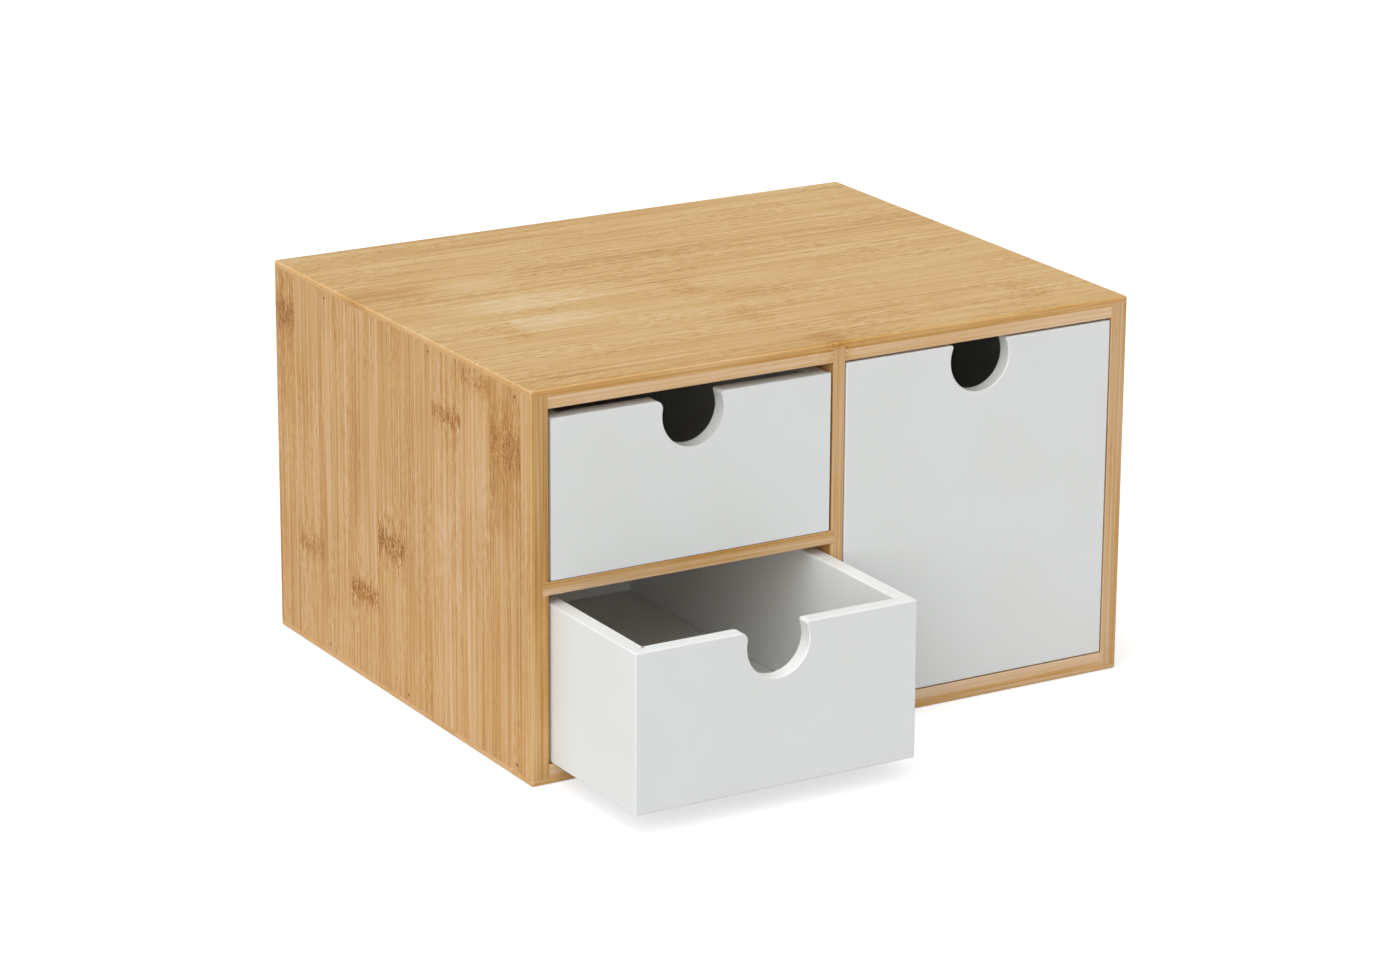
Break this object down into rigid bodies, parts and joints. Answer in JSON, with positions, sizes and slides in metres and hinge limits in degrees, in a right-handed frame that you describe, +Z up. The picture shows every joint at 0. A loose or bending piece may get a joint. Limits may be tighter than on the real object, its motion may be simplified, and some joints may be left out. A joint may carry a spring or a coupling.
{
  "type": "desktop mini drawers",
  "caption": "Bamboo desktop organizer with small drawers stacked beside a tall drawer, white fronts with round finger notches, and the lower left drawer pulled out.",
  "frame": {"origin": "on the table, under the middle of the carcass", "axes": "+Z up, the drawers open towards -Y, +X to the right seen from the front"},
  "size_m": [0.25, 0.2585, 0.145],
  "materials": {
    "bamboo_panel": "natural bamboo board, clear satin lacquer",
    "bamboo_board": "thin bamboo board, clear satin lacquer",
    "white_paint": "fibreboard with satin white paint",
    "brad_steel": "bright steel wire"
  },
  "bodies": {
    "carcass": {"top_panel": "bamboo_panel", "bottom_panel": "bamboo_panel", "left_side": "bamboo_panel", "right_side": "bamboo_panel", "divider": "bamboo_board", "shelf": "bamboo_board", "back_panel": "bamboo_board", "left_side_brads": "brad_steel", "right_side_brads": "brad_steel", "back_panel_pins": "brad_steel"},
    "upper_drawer": {"upper_drawer_front": "white_paint", "upper_drawer_left_wall": "white_paint", "upper_drawer_right_wall": "white_paint", "upper_drawer_back": "white_paint", "upper_drawer_bottom": "white_paint", "upper_drawer_brads": "brad_steel"},
    "lower_drawer": {"lower_drawer_front": "white_paint", "lower_drawer_left_wall": "white_paint", "lower_drawer_right_wall": "white_paint", "lower_drawer_back": "white_paint", "lower_drawer_bottom": "white_paint", "lower_drawer_brads": "brad_steel"},
    "tall_drawer": {"tall_drawer_front": "white_paint", "tall_drawer_left_wall": "white_paint", "tall_drawer_right_wall": "white_paint", "tall_drawer_back": "white_paint", "tall_drawer_bottom": "white_paint", "tall_drawer_brads": "brad_steel"}
  },
  "joints": [
    {"name": "upper_drawer_slide", "type": "slide", "parent": "carcass", "child": "upper_drawer", "axis": [0, -1, 0], "range_m": [0, 0.15]},
    {"name": "lower_drawer_slide", "type": "slide", "parent": "carcass", "child": "lower_drawer", "axis": [0, -1, 0], "range_m": [-0.0585, 0.0915]},
    {"name": "tall_drawer_slide", "type": "slide", "parent": "carcass", "child": "tall_drawer", "axis": [0, -1, 0], "range_m": [0, 0.15]}
  ]
}
